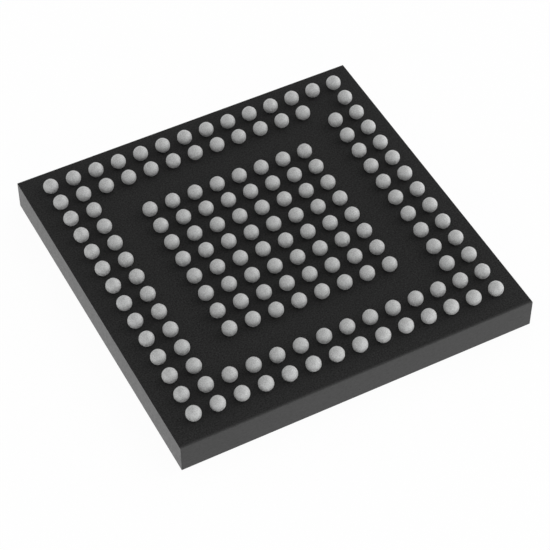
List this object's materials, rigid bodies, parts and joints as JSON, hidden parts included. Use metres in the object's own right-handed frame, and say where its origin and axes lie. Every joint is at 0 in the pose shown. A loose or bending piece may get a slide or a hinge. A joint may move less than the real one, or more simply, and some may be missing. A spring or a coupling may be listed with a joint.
{
  "type": "ball grid array chip",
  "caption": "Square overmoulded chip package with a grid of solder balls on its laminate face; a die and its bond wires are sealed in the mould cap.",
  "frame": {"origin": "middle of the marking face, the flat moulded face that the chip lies on", "axes": "+Z towards the solder balls; +X and +Y along the edges, towards the corner of ball A1"},
  "size_m": [0.012, 0.012, 0.0015],
  "materials": {
    "mould_compound": "black silica-filled epoxy, fine-grained, sawn at the sides",
    "laminate": "black solder mask, matt, with a very fine grain",
    "silicon": "polished",
    "adhesive_film": "cured adhesive film",
    "gold_wire": "drawn gold wire",
    "solder": "reflowed tin alloy, dull, finely frosted"
  },
  "bodies": {
    "root": {"mould_cap": "mould_compound", "laminate_substrate": "laminate", "silicon_die": "silicon", "die_attach_film": "adhesive_film", "bond_wires_right": "gold_wire", "bond_wires_back": "gold_wire", "bond_wires_left": "gold_wire", "bond_wires_front": "gold_wire", "outer_ring_balls": "solder", "second_ring_balls": "solder", "centre_field_balls": "solder"}
  },
  "joints": []
}
